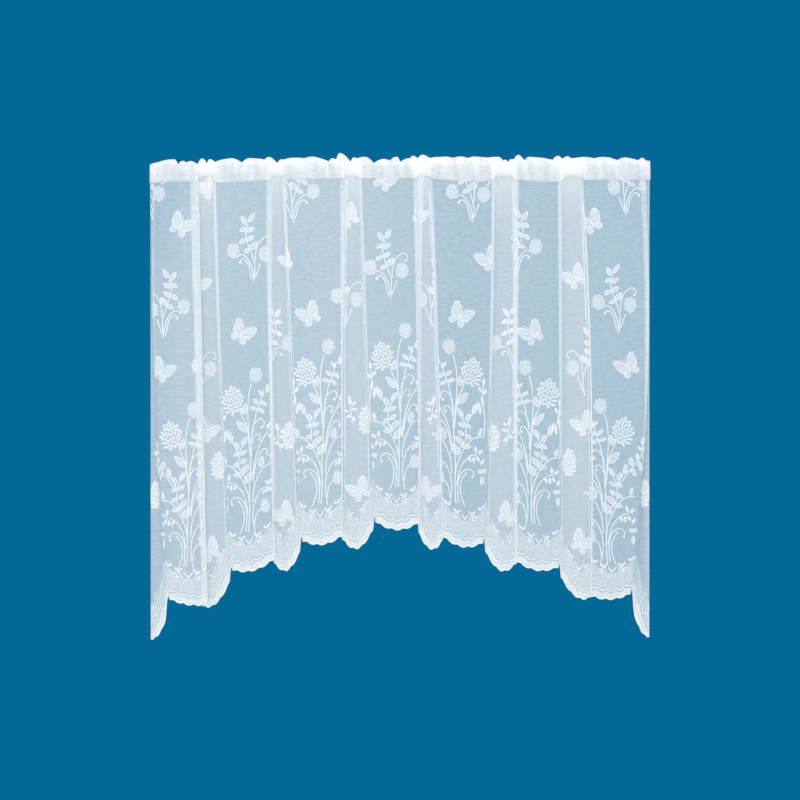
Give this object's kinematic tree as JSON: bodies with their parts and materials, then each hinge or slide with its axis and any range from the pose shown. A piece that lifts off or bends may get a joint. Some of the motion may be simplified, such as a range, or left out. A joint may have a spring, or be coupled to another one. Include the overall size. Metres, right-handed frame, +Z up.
{
  "type": "net curtain",
  "caption": "Sheer knitted net curtain hung in uneven folds from a gathered slot heading with a small ruffle, with a scalloped lace hem that arches up in the middle.",
  "frame": {"origin": "middle of the rod slot in the heading, on the slot's axis and halfway along it", "axes": "+X along the slot, to the right as seen from the room; -Y towards the room; +Z up"},
  "size_m": [1.1, 0.0337, 1.0707],
  "materials": {
    "net": "matt",
    "gathered_net": "matt",
    "figured_knit": "matt",
    "lace_border": "matt"
  },
  "bodies": {
    "root": {"curtain_sheet": "net", "slot_heading": "gathered_net"}
  },
  "joints": []
}
